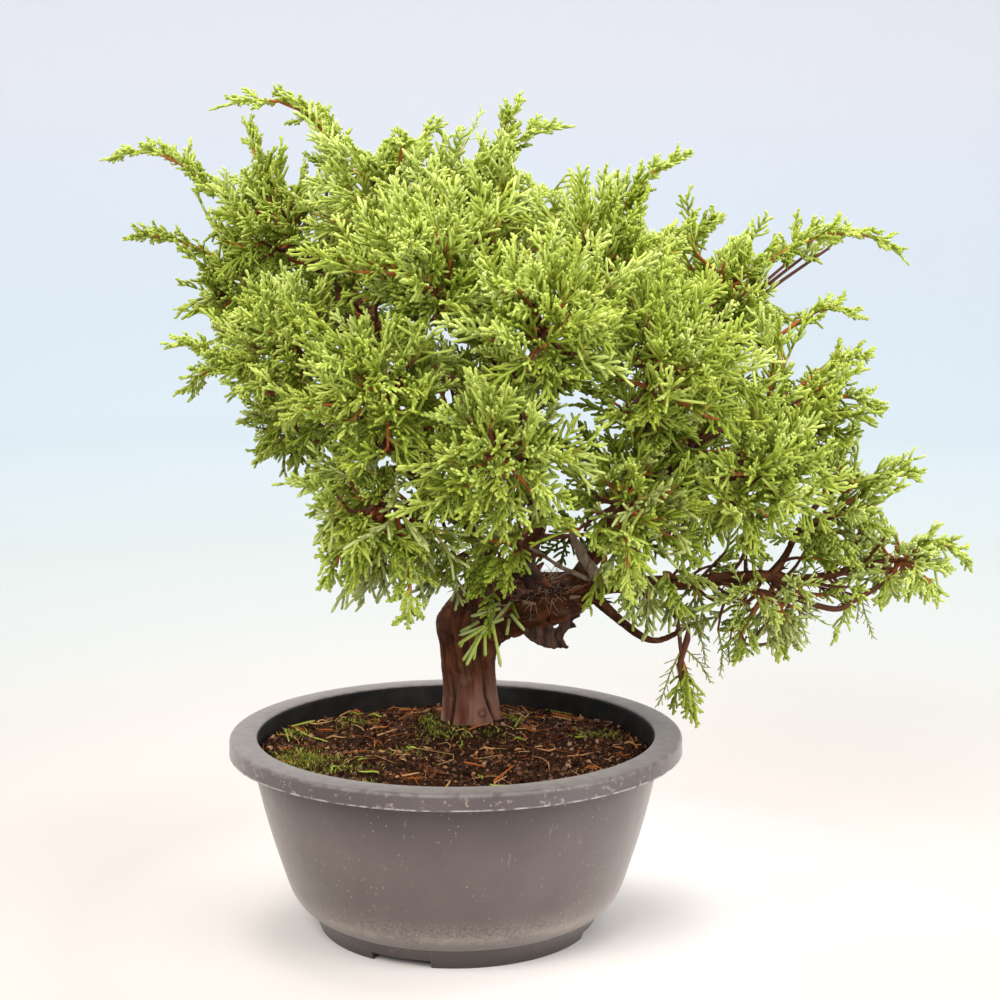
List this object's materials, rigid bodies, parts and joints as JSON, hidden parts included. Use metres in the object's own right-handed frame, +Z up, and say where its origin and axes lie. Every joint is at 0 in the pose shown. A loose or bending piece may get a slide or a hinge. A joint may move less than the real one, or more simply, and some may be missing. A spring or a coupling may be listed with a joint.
{
  "type": "itoigawa chinese juniper bonsai",
  "caption": "Small juniper tree with a bent reddish trunk and a dense leaning crown of scale-leaf sprays, in a round plastic training pot with its soil.",
  "frame": {"origin": "on the floor under the middle of the whole plant's plan, in the plane of the pot's underside; the pot's axis stands a little to the left of it", "axes": "+Z up, +X to the right and -Y towards the viewer when the plant is seen from its front, the side that the picture shows; Y is the plant's shortest extent"},
  "size_m": [0.3556, 0.2476, 0.3291],
  "materials": {
    "pot": "matte",
    "soil": "matte",
    "bark": "matte",
    "dead_wood": "matte",
    "foliage": "matte"
  },
  "bodies": {
    "root": {"bough_back_left": "bark", "bough_back_low": "bark", "bough_back_low_right": "bark", "bough_back_right": "bark", "bough_back_top": "bark", "bough_front_high": "bark", "bough_front_left": "bark", "bough_front_low": "bark", "bough_front_mid": "bark", "bough_front_right": "bark", "bough_hanging": "bark", "bough_left_front": "bark", "bough_left_high": "bark", "bough_left_low": "bark", "bough_low_front": "bark", "bough_low_left": "bark", "bough_low_mid": "bark", "bough_right": "bark", "bough_right_high": "bark", "bough_right_low": "bark", "bough_right_mid": "bark", "bough_right_tip": "bark", "bough_right_under": "bark", "bough_top_crest": "bark", "bough_top_left": "bark", "bough_top_mid": "bark", "bough_top_right": "bark", "dead_stub": "dead_wood", "dead_twigs": "dead_wood", "foliage_back_left": "foliage", "foliage_back_low": "foliage", "foliage_back_low_right": "foliage", "foliage_back_right": "foliage", "foliage_back_top": "foliage", "foliage_front_high": "foliage", "foliage_front_left": "foliage", "foliage_front_low": "foliage", "foliage_front_mid": "foliage", "foliage_front_right": "foliage", "foliage_hanging": "foliage", "foliage_left_front": "foliage", "foliage_left_high": "foliage", "foliage_left_low": "foliage", "foliage_low_front": "foliage", "foliage_low_left": "foliage", "foliage_low_mid": "foliage", "foliage_right": "foliage", "foliage_right_high": "foliage", "foliage_right_low": "foliage", "foliage_right_mid": "foliage", "foliage_right_tip": "foliage", "foliage_right_under": "foliage", "foliage_top_crest": "foliage", "foliage_top_left": "foliage", "foliage_top_mid": "foliage", "foliage_top_right": "foliage", "pot": "pot", "soil": "soil", "trunk": "bark"}
  },
  "joints": []
}
